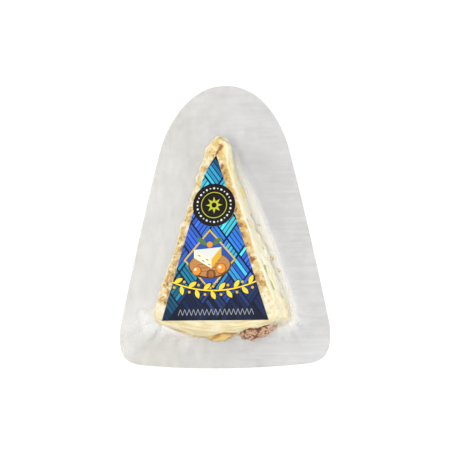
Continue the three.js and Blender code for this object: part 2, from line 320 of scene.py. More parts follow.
# How tan the skin beside the label is, from the rind to the tip: y and share.
TAN_RIGHT = [
    (-60, -0.35), (-54, -0.15), (-48, 0.3), (-42, 0.6), (-38, 0.65), (-33, 0.35), (-29, 0.5), (-22, 0.55), (-17, 0.5),
    (-12, 0.62), (-6, 0.65), (0, 0.5), (8, 0.6), (18, 0.7), (25, 0.6), (31, 0.4), (35, 0.15), (40, 0.1),
]
TAN_LEFT = [
    (-60, -0.35), (-54, -0.1), (-50, 0.35), (-44, 0.6), (-36, 0.65), (-28, 0.6), (-22, 0.5), (-14, 0.6), (-6, 0.55),
    (4, 0.5), (14, 0.5), (22, 0.4), (29, 0.2), (36, 0.02), (41, 0.05),
]
# The brown seam low on the rind's left: corners of the line and its half width.
RIND_SEAM = [
    (-28.4, -60.6, 40.6, 0.7), (-25.2, -63.9, 35, 1.0), (-21.5, -65.1, 31, 1.6), (-17, -66.9, 29.6, 1.5),
    (-13, -68.2, 26.5, 1.3), (-9.2, -69.0, 22.5, 1.2), (-5, -69.3, 19, 1.0),
]
# Marks in the right cut face, each a line along it: y and z of both ends, and half width.
VEINS = [
    (-2.8, 33, -8.5, 26.5, 0.8), (-20, 31, -28, 30, 0.5), (6, 13, -8, 8, 0.8), (-44, 12, -56, 8, 0.9),
    (30, 16, 18, 12, 0.7), (-12, 19, -18, 17, 0.5), (-50, 33, -56, 32, 0.5),
]
FRUIT_BITS = [(38.7, 11, 37.5, 9, 0.9), (-8, 16, -10, 14, 1.2)]
NUT_BITS = [(4, 6, 0, 4, 1.6), (-24, 9, -28, 7, 1.5)]
# Marks that run along the right face's slanting lines of sight: both ends in slanted plan, half width, strength, and
# the height on the face with its spread.
SLANT = np.array([0.194, -0.167])
SLANT_VEINS = [
    (24.0, -24.3, 25.2, -28.2, 0.6, 0.9, 30.5, 6), (25.2, -28.2, 27.0, -32.5, 0.55, 1.0, 33, 6),
    (27.0, -32.5, 29.3, -37.6, 0.65, 1.05, 30.5, 6), (14.8, 4.6, 16.8, -0.6, 0.7, 1.0, 35, 6),
]
SLANT_FRUIT = [
    (3.7, 35.0, 5.0, 30.7, 1.1, 0.95, 37, 5), (7.7, 30.5, 8.3, 26.2, 1.35, 0.95, 16, 7),
    (10.8, 20.6, 12.0, 15.7, 1.6, 0.95, 14.5, 7),
]
SLANT_NUT = [
    (3.2, 40.3, 5.3, 31.9, 0.5, 0.7, 37, 5), (5.3, 31.9, 7.5, 22.6, 0.5, 0.6, 37, 5),
    (33.4, -36.6, 34.2, -43.8, 1.9, 0.7, 18.5, 8),
]
TIP_BULGE = {"at": (-1.5, 39.5, 38.0), "reach": 5.5, "high": 1.1}  # a soft swelling on the left of the tip


def wedge_places(points):
    """For points of the wedge: distance from its centre, and signed angle from its middle line."""
    turned = np.array([[cos(-LEAN), -sin(-LEAN)], [sin(-LEAN), cos(-LEAN)]])
    flat = (points[:, :2] - CENTRE) @ turned.T
    return np.hypot(flat[:, 0], flat[:, 1]), np.arctan2(flat[:, 0], -flat[:, 1])


def soft_lines(places, rows, wobble):
    """Soft marks along short lines in a plane: each row has both ends, a half width and perhaps a strength."""
    total = np.zeros(len(places))
    fray = np.clip(1 + 0.5 * wobble, 0.4, 2.0)
    for a0, b0, a1, b1, half, *strength in rows:
        gap = line_places(places, (a0, b0), (a1, b1))[1] / half
        total = np.maximum(total, (strength[0] if strength else 1.0) * np.exp(-gap * gap * fray))
    return total


def bent_line(points, rows):
    """How near each point is to a bent line in space: each row has a corner of the line and its half width there."""
    best = np.zeros(len(points))
    for (*start, half), (*end, _) in zip(rows, rows[1:]):
        gap = line_places(points, start, end)[1] / half
        best = np.maximum(best, np.exp(-gap * gap))
    return best


def both_faces(points, angle, rows, wobble, slide, slanted):
    """The marks of two lists on the right face, and the first list moved along on the left one."""
    places = points[:, 1:]
    right = soft_lines(places, rows, wobble)
    flat = points[:, :2] - points[:, 2:] * SLANT
    for *line, height, spread in slanted:
        level = np.exp(-(((points[:, 2] - height) / spread) ** 2))
        right = np.maximum(right, level * soft_lines(flat, [line], 0.5 * wobble))
    return np.where(angle > 0, right, soft_lines(places - slide, rows, wobble))


def make_cheese():
    cheese = fine_copy("cheese_wedge", "cheese", voxel_mm=0.65, smooth_steps=4)
    mesh = cheese.data
    points, normals = points_of(mesh), vectors_of(mesh, "normal")
    reach, angle = wedge_places(points)
    along, height = points[:, 1], points[:, 2]
    is_top = ease(normals[:, 2], 0.45, 0.85) * ease(height, 35, 39.5)
    is_base = ease(-normals[:, 2], 0.5, 0.9)
    is_rind = ease(reach, RADIUS - 9, RADIUS - 4) * ease(-normals[:, 1], 0.35, 0.75) * (1 - is_top)
    is_cut = np.clip(1 - is_top - is_base - is_rind, 0, 1)

    # relief: a pressed skin on top, long ridges round the rind, and a smeared crumb with pits on the cut faces
    walk = reach - RADIUS + TOP - height
    arc = np.column_stack([angle * RADIUS + 0.3 * walk, (walk - 0.1 * angle * RADIUS) * 5])
    ridges = blotches(arc, 17, 11) + 0.6 * blotches(arc * [1, 1.6], 9, 12)
    cuts = np.column_stack([reach / 11, height / 1.7 + reach / 60])
    smears = blotches(cuts, 2, 23) + 0.5 * blotches(cuts * 1.9, 2, 24)
    crumb = blotches(points, 5.5, 21) + 0.7 * blotches(points * [1, 0.45, 1], 2.6, 22)
    skin = blotches(points, 14, 31) + 0.45 * blotches(points, 4, 32)
    wobble = blotches(points, 3, 41)
    vein = both_faces(points, angle, VEINS, wobble, (-9, -3), SLANT_VEINS) * is_cut
    fruit = both_faces(points, angle, FRUIT_BITS, 0.6 * wobble, (-21, -2), SLANT_FRUIT) * is_cut
    nut = both_faces(points, angle, NUT_BITS, wobble, (14, 9), SLANT_NUT) * is_cut
    relief = is_rind * 0.2 * ridges + is_top * 0.07 * skin
    relief += is_cut * (0.14 * crumb + 0.12 * smears - 0.45 * vein + 0.2 * fruit)
    from_tip = np.linalg.norm(points - TIP_BULGE["at"], axis=1)
    relief += TIP_BULGE["high"] * np.exp(-((from_tip / TIP_BULGE["reach"]) ** 2))
    push_out(mesh, relief)

    # how tan the skin is: pale along the outer edges and by the rind, tan beside the label, with brown marks
    side_gap = (HALF_ANGLE - np.abs(angle)) * reach
    inner = ease(side_gap + 0.5 * wobble, 0.8, 5.0)
    right = ease(angle, -0.05, 0.05)
    level = right * np.interp(along, *zip(*TAN_RIGHT)) + (1 - right) * np.interp(along, *zip(*TAN_LEFT))
    brown = soft_lines(points[:, :2], BROWN_MARKS, 1.5 * wobble)
    gold = soft_lines(points[:, :2], GOLD_MARKS, wobble)
    tan = level * (0.38 + 0.62 * inner) + 0.85 * brown + 0.26 * blotches(points, 5, 51) * (0.35 + 0.65 * inner)

    lip = ease(reach + 0.4 * ridges, RADIUS - 8.5, RADIUS - 5)
    rind = np.maximum(is_rind, lip * is_top)
    low_left = ease(-angle * RADIUS, -4, 26) * ease(-height, -27, -14)
    seam = bent_line(points, RIND_SEAM) * np.clip(1 + 0.5 * wobble, 0.3, 1.6)
    # painted shade: the right cut face is darkened towards the rind corner with the nut bits' colour
    corner_shade = 0.52 * ease(-along, 42, 52) * is_cut * (angle > 0)
    set_attributes(mesh, {
        "gold": np.clip(gold + 0.35 * right - 0.15, -0.2, 1),
        "skin": is_top * (1 - 0.85 * lip),
        "tan": tan,
        "rind": rind,
        "rind_tan": np.clip(low_left * (1 + 0.3 * ridges) + 1.4 * seam, 0, 1.5),
        "streak": np.clip(0.5 + 0.3 * np.where(rind > 0.5, ridges, smears), 0, 1),
        "vein": vein,
        "fruit": fruit,
        "nut": np.maximum(nut, corner_shade),
        "very_tip": ease(along, 25, 35),
        # tip: a yellower paste towards the tip, and a yellower paste towards the rind corner that is painted shade
        "tip": ease(along, -10, 30) + 0.9 * ease(-along, 40, 54),
    })
    dress(cheese, cheese_material())
    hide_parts("cheese_wedge")
    return cheese


def cheese_material():
    s = Shader("cheese_paste")
    cloudy = s.noise(6, detail=4)
    fine = s.noise(1.3, detail=4, rough=0.65)
    grainy = s.noise(2.0, detail=4, rough=0.7)
    streak = s.plus(s["streak"], s.swing(fine, 0.5))

    # the tip share yellows the paste at the tip, and by the rind corner as painted shade
    yellow = s.plus(s.ranged(streak, 0.1, 0.5, 0.5, 0.0), s.times(s["tip"], 0.3))
    paste = s.mix(yellow, PASTE_PALE, PASTE_YELLOW)
    paste = s.mix(s.ranged(cloudy, 0.5, 0.75, 0.0, 0.5), paste, PASTE_GREY)
    # the nut share also carries the painted shade by the rind corner
    marks = (("vein", VEIN, 0.3, 0.65), ("fruit", FRUIT_BIT, 0.3, 0.7), ("nut", NUT_BIT, 0.4, 0.9))
    for name, colour, low, high in marks:
        share = s.plus(s[name], s.swing(grainy, 0.6))
        paste = s.mix(s.ranged(share, low, high, 0.0, 0.9), paste, colour)

    rind = s.mix(s.ranged(streak, 0.3, 0.7), RIND_STREAK, RIND_CREAM)
    tan_share = s.plus(s["rind_tan"], s.swing(grainy, 0.7))
    rind = s.mix(s.ranged(tan_share, 0.3, 1.1, 0.0, 0.9), rind, RIND_TAN)

    tan = s["tan"]
    patches = s.noise(2.6, detail=5, rough=0.6)
    grains = s.swing(s.noise(1.5, detail=4, rough=0.6, distort=0.6), 4.0)
    specks = s.swing(s.noise(2.1, detail=4, rough=0.65, distort=1.0), 4.2)
    mottles = s.plus(patches, s.times(tan, 0.38))
    golden = s.plus(s.plus(s["gold"], s.swing(patches, 1.2)), s.times(grains, 0.3))
    cream = s.mix(s.times(s["very_tip"], 0.6), SKIN_CREAM, SKIN_TIP)
    skin = s.mix(s.ranged(mottles, 0.44, 0.68), cream, SKIN_YELLOW)
    skin = s.mix(s.ranged(golden, 0.0, 1.0, 0.0, 0.9), skin, SKIN_GOLD)
    skin = s.mix(s.ranged(s.plus(tan, grains), 0.45, 0.95), skin, SKIN_TAN)
    skin = s.mix(s.ranged(s.plus(tan, specks), 1.02, 1.45, 0.0, 0.95), skin, SKIN_BROWN)
    colour = s.mix(s["skin"], s.mix(s["rind"], paste, rind), skin)
    return s.finish(
        Base_Color=colour, Roughness=s.ranged(fine, 0.3, 0.7, 0.32, 0.5),
        Normal=s.bump(s.plus(fine, s.times(cloudy, 0.8)), 0.25, 0.7),
        Subsurface_Radius=(0.003, 0.0018, 0.001), **SOFT, **MOIST,
    )


# ---------- walnut and apricot ----------
def lobed(points, stretch, size, seed, width, power):
    """Rounded lobes between sunken lines, from 0 to 1."""
    return np.clip(np.abs(blotches(points * stretch, size, seed, waves=14)) / width, 0, 1) ** power


def make_walnut():
    walnut = fine_copy("walnut_piece", "walnut", voxel_mm=0.45, smooth_steps=6)
    points = points_of(walnut.data)
    lobes = lobed(points, [0.8, 1, 1.3], 8.5, 61, 0.7, 0.6)
    folds = lobed(points, [0.9, 1, 1.2], 4.2, 62, 0.6, 0.7)
    frills = lobed(points, [1, 1, 1.3], 2.3, 63, 0.6, 0.8)
    push_out(walnut.data, 1.2 * lobes + 0.7 * folds + 0.3 * frills - 1.75)
    set_attributes(walnut.data, {"fold": np.clip(0.5 * lobes + 0.36 * folds + 0.25 * frills, 0, 1.1)})
    s = Shader("walnut_kernel")
    fine = s.noise(1.4, detail=4)
    # darker in the sunken creases, partly the kernel's own darker skin and partly painted shade, and lighter on the
    # raised lobes, a painted highlight
    tone = s.plus(s["fold"], s.swing(fine, 0.9))
    colour = s.mix(s.ranged(tone, 0.68, 0.88), WALNUT_DARK, WALNUT_MID)
    colour = s.mix(s.ranged(tone, 0.88, 1.05), colour, WALNUT_LIGHT)
    material = s.finish(Base_Color=colour, Roughness=0.5, Normal=s.bump(fine, 0.3, 0.8), **MOIST)
    dress(walnut, material)
    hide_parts("walnut_piece")
    return walnut


def make_apricot():
    apricot = fine_copy("apricot_piece", "apricot", voxel_mm=0.5, smooth_steps=6)
    points = points_of(apricot.data)
    creases = np.abs(blotches(points * [0.7, 1, 1.4], 10, 71, waves=12))
    push_out(apricot.data, 0.45 * np.clip(creases, 0, 1.2) - 0.3 + 0.08 * blotches(points, 3, 72))
    set_attributes(apricot.data, {"fold": np.clip(creases, 0, 1)})
    s = Shader("apricot_flesh")
    fine = s.noise(2.4, detail=4)
    # lighter on the raised parts and darker in the creases: partly the flesh's own tone, partly painted highlight and
    # painted shade
    tone = s.plus(s["fold"], s.swing(fine, 1.2))
    material = s.finish(
        Base_Color=s.mix(s.ranged(tone, 0.0, 0.8), APRICOT_DARK, APRICOT_LIGHT),
        Roughness=0.38, Normal=s.bump(fine, 0.25, 0.7),
        Subsurface_Radius=(0.003, 0.0012, 0.0005), **SOFT, **MOIST,
    )
    dress(apricot, material)
    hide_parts("apricot_piece")
    return apricot


# ---------- the film ----------
FILM_HEART = np.array([2.6, -26.0, 0.3])  # rays that find the film's surface meet here
AROUND, FLANGE_ROWS, RISE_ROWS = 400, 44, 96  # points round the film's grid, and its rows
THICK = 0.06
CLEAR = 0.13  # how far the film stands off what it covers
FLAT = 0.5  # the flange's height over the pouch's underside
RIM, INSET = 0.12, 0.15  # the upper web's height at its edge, and how far that lies inside the sheet's
WALL = 11.0  # how far outside the wedge the wall stands that rays are aimed at
# Folds in the film, in plan: start, end, half width and height.
FOLDS = [
    (40, -60, 46, -67, 1.4, 0.25), (42, -57, 50, -60, 1.2, 0.2), (37, -62, 40, -72, 1.6, 0.2),
    (-33, -60, -44, -73, 1.5, 0.4), (-36, -52, -54, -58, 2.2, 0.25), (-28, -64, -34, -76, 1.6, 0.25),
    (-42, -60, -56, -72, 2.4, 0.4), (-50, -52, -46, -70, 1.2, 0.3), (-22, -67, -27, -76, 2.6, 0.25),
    (3, 45, -2, 66, 2.6, 0.1), (7, 46, 12, 66, 3.0, 0.1), (5, 47, 5, 76, 3.4, 0.12),
]
# Creases that catch the light or lie in shade: both ends in space, half width, and strength, below 0 for a dark one.
CREASES = [
    (5.6, 44.6, 40.4, 8.4, 42.3, 39.8, 0.5, -1.6), (8.4, 42.3, 39.8, 10.0, 41.3, 34.6, 0.5, -1.2),
    (7.4, 44.4, 38.2, 10.6, 41.4, 31.0, 0.6, 0.9), (9.8, 42.6, 30.0, 11.0, 40.0, 16.0, 0.6, 0.5),
    (37.5, -58.0, 24, 41.0, -64.5, 6, 0.9, 0.35), (39.5, -52.0, 20, 43.5, -58.0, 5, 0.8, 0.3),
    (38.5, -60.0, 20, 40.0, -66.0, 6, 0.5, -0.12), (36.0, -47.0, 16, 40.5, -50.0, 4, 0.7, 0.25),
    (34.0, -63.0, 24, 37.0, -69.0, 6, 0.6, 0.3), (-40.3, -62.4, 0.6, -42.0, -66.5, 0.6, 0.5, -0.35),
    (-42.0, -66.5, 0.6, -44.8, -69.0, 0.6, 0.5, -0.3), (-48.3, -59.5, 0.6, -42.1, -60.8, 0.6, 0.6, 0.5),
    (-62.0, -69.5, 0.6, -55.5, -76.2, 0.6, 1.2, 0.5), (-36.5, -75.0, 0.6, -22.5, -70.0, 0.6, 0.8, 0.4),
    (-34.0, -70.0, 0.6, -24.0, -68.5, 0.6, 0.6, 0.4),
]
# The shaded foot of the film's slope, in plan: x, y and strength.
FOOT_LINE = [
    (3.5, 53.6, 0.4), (5.4, 51.3, 0.8), (7.2, 48.9, 0.85), (8.8, 45.1, 0.8), (11.4, 40.5, 0.7), (14.0, 35.7, 0.65),
    (18.8, 26.3, 0.7), (23.0, 16.4, 0.65), (25.4, 8.9, 0.4), (27.8, 2.1, 0.2), (31.0, -7.0, 0.0),
]
# Crumpled patches of the flat film, painted paler and with painted glints along their creases where they catch the
# light; in plan: x, y, radius and strength.
CRUMPLES = [
    (-47, -51, 7, 0.7), (-47, -60, 6, 0.7), (-55, -63, 6, 0.7), (-59, -73, 7, 0.9), (-38, -63, 6, 0.5),
    (-20, -70, 5, 0.5), (34, -68, 6, 0.5), (44, -60, 6, 0.6),
]
# Darker patches, the same way; the two beside the left of the tip are painted shade.
DULL_SPOTS = [
    (-18, 38, 11, 0.8), (-22, 24, 8, 0.5), (-30, -70, 8, 0.8), (-40, -72, 5, 0.5), (8, -74, 16, 0.4),
]
# Crumbs that cling to the film's inner side: the spot on the film, and size, in millimetres.
CRUMBS = [
    (23.0, -2.3, 7.5, 0.8), (30.7, -22.6, 9.9, 1.3), (31.4, -22.8, 8.0, 0.8), (33.9, -28.6, 7.0, 0.65),
    (34.7, -30.2, 6.6, 1.0),
]
UPWARD = Vector((0.19, -0.16, 0.97))  # a little to the right and down of straight up


def resampled(path, count):
    """Points evenly spaced along a polyline."""
    lengths = np.r_[0, np.cumsum(np.linalg.norm(np.diff(path, axis=0), axis=1))]
    wanted = np.linspace(0, lengths[-1], count)
    return np.column_stack([np.interp(wanted, lengths, values) for values in path.T])


def cast_in(tree, way, far=200.0):
    """The outermost hit of a ray towards the film's heart, as a distance from it."""
    hit = tree.ray_cast(Vector(FILM_HEART + way * far), Vector(-way))[0]
    return 0.0 if hit is None else float(np.dot(np.array(hit) - FILM_HEART, way))


def film_ways():
    """Ways out from the film's heart, and how far the wedge's plain plan and the pouch's edge lie along them."""
    angles = np.linspace(LEAN - HALF_ANGLE, LEAN + HALF_ANGLE, 40)
    arc = CENTRE + RADIUS * np.column_stack([np.sin(angles), -np.cos(angles)])
    tip = CENTRE + (3.6, -11.4)
    flat = resampled(np.vstack([tip, arc, tip]), AROUND + 1)[:-1] - FILM_HEART[:2]
    spans = np.linalg.norm(flat, axis=1)
    ways = flat / spans[:, None]
    tree = tree_of([NODES["pouch"]])
    return ways, spans, np.array([cast_in(tree, np.array([*way, 0.0])) for way in ways])


def blurred(grid, steps):
    """Each value averaged with its neighbours, round the columns and along the rows."""
    for _ in range(steps):
        rows = np.pad(grid, ((1, 1), (0, 0)), mode="edge")
        grid = 0.5 * grid + 0.25 * (rows[:-2] + rows[2:])
        grid = 0.5 * grid + 0.25 * (np.roll(grid, 1, axis=1) + np.roll(grid, -1, axis=1))
    return grid


def eased(grid, share, steps):
    """The grid drawn towards its neighbours' middles where the share allows."""
    for _ in range(steps):
        middle = grid.copy()
        middle[1:-1] = (grid[:-2] + grid[2:]) / 4
        middle[1:-1] += (np.roll(grid, 1, axis=1) + np.roll(grid, -1, axis=1))[1:-1] / 4
        grid = grid + share * (middle - grid)
    return grid


def film_rise(contents, ways, spans):
    """The film's taut surface, by rays towards points up a wall round the wedge and then inwards over its top."""
    tree = tree_of([*contents, NODES["pouch"]])
    walls = spans + WALL
    walks = np.linspace(0.0, 1.0, RISE_ROWS)[:, None] * (TOP + walls * 0.985)
    outs = walls - np.maximum(0.0, walks - TOP)
    aims = np.dstack([ways[:, 0] * outs, ways[:, 1] * outs, np.minimum(walks, TOP) + 0.55])
    aims /= np.linalg.norm(aims, axis=2, keepdims=True)
    radii = np.array([[cast_in(tree, way) for way in row] for row in aims])
    taut = radii
    for _ in range(14):
        taut = np.maximum(radii, blurred(taut, 1))
    return FILM_HEART + aims * taut[:, :, None]


def film_grid(contents):
    """The film's outer surface: from the pouch's edge over the flange, up the tent and over the wedge's top."""
    ways, spans, edge = film_ways()
    rise = film_rise(contents, ways, spans)
    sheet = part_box("pouch")[0].z / MM + FLAT
    columns = []
    for way, reach, profile in zip(ways, edge, rise.transpose(1, 0, 2)):
        first = int(np.argmax(profile[:, 2] > sheet + 0.35))
        foot = np.array([*profile[first, :2], sheet])
        rim = np.array([*(FILM_HEART[:2] + way * (reach - INSET)), sheet])
        flange = np.linspace(rim, foot, FLANGE_ROWS, endpoint=False)
        columns.append(np.vstack([flange, resampled(np.vstack([foot, profile[first:]]), RISE_ROWS)]))
    grid = np.stack(columns, axis=1)
    soft = blurred(grid[..., 2], 2)
    grid[1:-1, :, 2] = np.maximum(soft[1:-1], grid[1:-1, :, 2] - 0.05)
    return grid


def grid_normals(grid):
    across = (np.roll(grid, -1, axis=1) - np.roll(grid, 1, axis=1)) / 2
    normals = np.cross(across, np.gradient(grid, axis=0))
    lengths = np.linalg.norm(normals, axis=2, keepdims=True)
    normals = np.where(lengths > 1e-9, normals / np.maximum(lengths, 1e-9), [0, 0, 1])
    normals[-1] = (0, 0, 1)
    return normals


def shell_object(name, outer, inner):
    """A closed thin shell between two grids whose last rows close on a pole."""
    rows, around = outer.shape[:2]
    points, faces = [], []
    for grid, turn in ((outer, 1), (inner, -1)):
        first = len(points)
        points += [*grid[:-1].reshape(-1, 3), grid[-1].mean(axis=0)]
        last = first + (rows - 2) * around
        cap = [[last + i, last + (i + 1) % around, last + around] for i in range(around)]
        faces += [face[::turn] for face in ring_faces(first, rows - 1, around) + cap]
    half = len(points) // 2
    faces += [[i, half + i, half + (i + 1) % around, (i + 1) % around] for i in range(around)]
    return smooth_object(name, points, faces)


def fold_height(points):
    total = np.zeros(len(points))
    for x0, y0, x1, y1, width, high in FOLDS:
        place, gap = line_places(points[:, :2], (x0, y0), (x1, y1))
        taper = ease(1.25 - place, 0, 0.9) * ease(place, -0.5, 0.2)
        total += high * taper * (np.exp(-((gap / width) ** 2)) - 0.35 * np.exp(-((gap / width - 2.2) ** 2)))
    return total


def crease_shares(points):
    """How much light and how much dark crease each point of the film carries."""
    light, dark = np.zeros((2, len(points)))
    for *ends, half, shade in CREASES:
        place, gap = line_places(points, ends[:3], ends[3:])
        amount = abs(shade) * np.exp(-((gap / half) ** 2)) * ease(1.15 - np.minimum(place, 1), 0, 0.4)
        best = light if shade > 0 else dark
        np.maximum(best, amount, out=best)
    return light, dark


def foot_share(points):
    """How much each point lies in the shaded line along the slope's foot."""
    best = np.zeros(len(points))
    for (*start, first), (*end, last) in zip(FOOT_LINE, FOOT_LINE[1:]):
        place, gap = line_places(points[:, :2], start, end)
        best = np.maximum(best, (first + np.clip(place, 0, 1) * (last - first)) * np.exp(-((gap / 1.8) ** 2)))
    return best


def film_density(points):
    """How grey the flat film is: clearest on the left, duller to the right and at both ends; the dulling to the right
    is painted shade.
    """
    x, y = points[:, 0], points[:, 1]
    duller = np.maximum(0.034 * ease(x, -48, 8), 0.034 * ease(y, 25, 60))
    duller = np.maximum(duller, (0.05 - 0.016 * ease(x, 25, 50)) * ease(-y, 58, 70))
    return 0.106 + duller + 0.03 * bump_at(points, DULL_SPOTS) - 0.06 * bump_at(points, CRUMPLES)


def near_wedge_lift(points, gap):
    """How close a point is to the wedge, reaching further on its right and fading below the rind; the film uses it to
    paint light over the shade by the wedge.
    """
    right = ease(points[:, 0], -8, 12) * (1 - 0.6 * ease(points[:, 1], 25, 45))
    fade = 0.35 + 0.65 * ease(points[:, 1], -66, -54)
    return np.exp(-gap / (4 + 3.5 * right)) * fade * (0.3 + 0.7 * right)


def gaps_to(points, pieces):
    """How far each point is from the nearest of some pieces."""
    tree = tree_of(pieces)
    return np.array([tree.find_nearest(Vector(p))[3] for p in points])


def film_shares(skin, gap, on_flange):
    """What the film's material reads, at each point of its outer side."""
    y, height = skin[:, 1], skin[:, 2]
    off_flange = 1 - on_flange
    light, dark = crease_shares(skin)
    reach, angle = wedge_places(skin)
    side_gap = (angle - HALF_ANGLE) * reach
    beside = ease(side_gap, -4, 1)
    loose = beside * (1 - ease(y, 30, 43))
    crumple = fold_height(skin) * on_flange
    streaks = np.column_stack([reach / 14, side_gap / 3 + height / 12])
    pressed = sum(np.exp(-np.sum((skin - spot) ** 2, axis=1) / (1.5 * size) ** 2) for *spot, size in CRUMBS)
    # the tent's milky haze is partly the film's own haze and partly painted reflection of the bright surroundings in
    # its wrinkles
    tent = off_flange * ease(gap, 0.3, 1.8) * ease(height, 0.9, 4.0)
    # painted light: more haze where the film stands further off, whitening over the shade at the cheese's foot
    tent *= 1 + 0.4 * ease(gap, 1.2, 3.5)
    milky = tent * (0.1 + 0.9 * loose) * (1 - 0.85 * np.clip(pressed, 0, 1))
    # painted light: a white veil over the shaded rind corner
    corner = off_flange * (1 - ease(height, 31, 39)) * bump_at(skin, [(38.5, -61.5, 6.5, 1.0)])
    off_cheese = (1 - beside) * ease(gap, 0.25, 1.2) * (1 - 0.85 * ease(height, 2, 11))
    # painted glints: light lines along the crumples' creases
    crinkle_glint = bump_at(skin, CRUMPLES) * on_flange + 0.5 * ease(-y, 42, 56) * beside * tent
    return {
        "tent": np.maximum(milky, corner),
        "corner": ease(-y, 36, 60) * beside,
        "streak": np.clip(0.5 + 0.3 * blotches(streaks, 2, 91), 0, 1),
        "flange": np.maximum(on_flange, off_cheese),
        "near": near_wedge_lift(skin, gap),
        "grey": film_density(skin),
        "crinkle_glint": np.clip(crinkle_glint, 0, 1),
        # painted highlight: the flat film is made clearer on the crests of its folds
        "clear": np.clip(crumple / 0.4, 0, 1),
        "light_crease": light,
        # painted shade in the troughs of the folds
        "dark_crease": np.clip(dark + np.clip(-crumple / 0.6, 0, 0.15), 0, 1),
        "foot": foot_share(skin) * beside,
    }


def make_film_top(contents):
    grid = film_grid(contents)
    rows, around = grid.shape[:2]
    flat = grid.reshape(-1, 3)
    height = flat[:, 2]
    row = np.repeat(np.arange(rows), around).astype(float)
    on_flange = 1 - ease(row, FLANGE_ROWS - 3, FLANGE_ROWS + 3)
    on_tent = (1 - on_flange) * (1 - ease(height, 22, 30))
    wrinkles = 0.16 * blotches(flat[:, :2] * [0.6, 1], 17, 81) + 0.06 * blotches(flat[:, :2], 6, 82)
    tight = 0.10 * blotches(flat * [1, 1, 0.6], 9, 83)
    lift = fold_height(flat) * (on_flange + on_tent) * (1 - ease(height, 8, 20))
    shift = CLEAR + ease(row, 0, 4) * (on_flange * wrinkles + lift) + on_tent * np.abs(tight)
    shift[row < 1] = 0
    gap = gaps_to(flat, contents)
    outer = (flat + grid_normals(grid).reshape(-1, 3) * shift[:, None]).reshape(grid.shape)
    outer = eased(outer, ((1 - on_flange) * ease(gap, 0.8, 2.4)).reshape(rows, around, 1), 30)
    outer[0, :, 2] = RIM + THICK
    outer[..., 2] = np.maximum(outer[..., 2], RIM + THICK)
    inner = outer - grid_normals(outer) * THICK
    inner[..., 2] = np.maximum(inner[..., 2], RIM)
    film = shell_object("film_top", outer, inner)
    shares = {}
    for name, values in film_shares(outer.reshape(-1, 3), gap, on_flange).items():
        side = np.r_[values[:-around], values[-around:].mean()]
        shares[name] = np.r_[side, side]
    set_attributes(film.data, shares)
    film.visible_shadow = False
    dress(film, film_material("film_upper"))
    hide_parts("pouch")
    return film


def make_film_base(contents):
    """The lower web: a flat sheet with the pouch's outline."""
    ways, _, edge = film_ways()
    rim = ways * (edge - INSET)[:, None]
    upper, lower = (np.stack([np.column_stack([FILM_HEART[:2] + rim * share, np.full(len(rim), height)])
                              for share in np.linspace(1, 0, 24)]) for height in (THICK, 0.0))
    base = shell_object("film_base", upper, lower)
    skin = points_of(base.data)
    absent = ("tent", "corner", "streak", "crinkle_glint", "clear", "light_crease", "dark_crease", "foot")
    set_attributes(base.data, {
        **dict.fromkeys(absent, np.zeros(len(skin))),
        "flange": np.ones(len(skin)),
        "near": near_wedge_lift(skin, gaps_to(skin, contents)),
        "grey": film_density(skin),
    })
    base.visible_shadow = False
    dress(base, film_material("film_lower"))
    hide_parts("pouch")


def film_material(name):
    s = Shader(name)
    cloud = s.noise(17, detail=5, rough=0.6)
    lines = s.noise(1.5, detail=2, vector=s.stretched(0.04, 1.0, 1.0))
    smears = s.noise(5, detail=3, vector=s.stretched(1.0, 0.3, 1.0))
    rightwards = s.ranged(s.node("SeparateXYZ", {0: s.coords})["X"], -0.045, 0.03)
    near = s["near"]

    left_marks = s.times(s.ranged(smears, 0.3, 0.7, -0.12, 0.12, kind="LINEAR"), s.rest(rightwards))
    right_marks = s.times(s.ranged(lines, 0.38, 0.62, -0.07, 0.07, kind="LINEAR"), rightwards)
    flange = s.times(s["grey"], s.ranged(cloud, 0.3, 0.7, 0.87, 1.13, kind="LINEAR"))
    flange = s.times(flange, s.plus(s.plus(left_marks, right_marks), 1.0))
    # painted light: the flange is made clearer near the wedge, lifting the shade there
    flange = s.times(flange, s.rest(s.times(near, 0.9)))
    # painted highlight on the fold crests
    flange = s.times(flange, s.rest(s.times(s["clear"], 0.35)))
    flange = s.times(flange, s["flange"])

    # the tent's haze, partly painted reflection of the bright surroundings
    haze_and_sheen = s.plus(s.ranged(s["streak"], 0.0, 1.0, 0.2, 0.34), s.times(s["corner"], 0.02))
    # painted glints along the crumples' creases
    crinkle_glint = s.times(s["crinkle_glint"], s.ranged(s.edges(7.0), 0.0, 0.09, 1.0, 0.0))
    light = s.times(s.plus(s["light_crease"], crinkle_glint), 0.2)
    milky = s.plus(s.times(s["tent"], haze_and_sheen), light)
    dark = s.plus(s.times(s["dark_crease"], 0.4), s.times(s["foot"], 0.055))
    alpha = s.plus(s.plus(flange, dark), s.maths("MAXIMUM", milky, 0.008))
    white = s.mix(s.ranged(near, 0.15, 0.9), FILM_HAZE_AND_SHEEN, FILM_WARM)
    colour = s.mix(rightwards, FILM_LEFT, FILM_RIGHT)
    colour = s.mix(s.maths("DIVIDE", milky, alpha), colour, white)
    colour = s.mix(s.maths("DIVIDE", dark, alpha), colour, FILM_SHADE)
    wave = s.bump(s.plus(s.times(lines, 0.08), s.noise(7, detail=2)), 0.12, 0.5)
    return s.finish(Base_Color=colour, Alpha=alpha, Roughness=0.38, Normal=wave, Specular_IOR_Level=0.38)


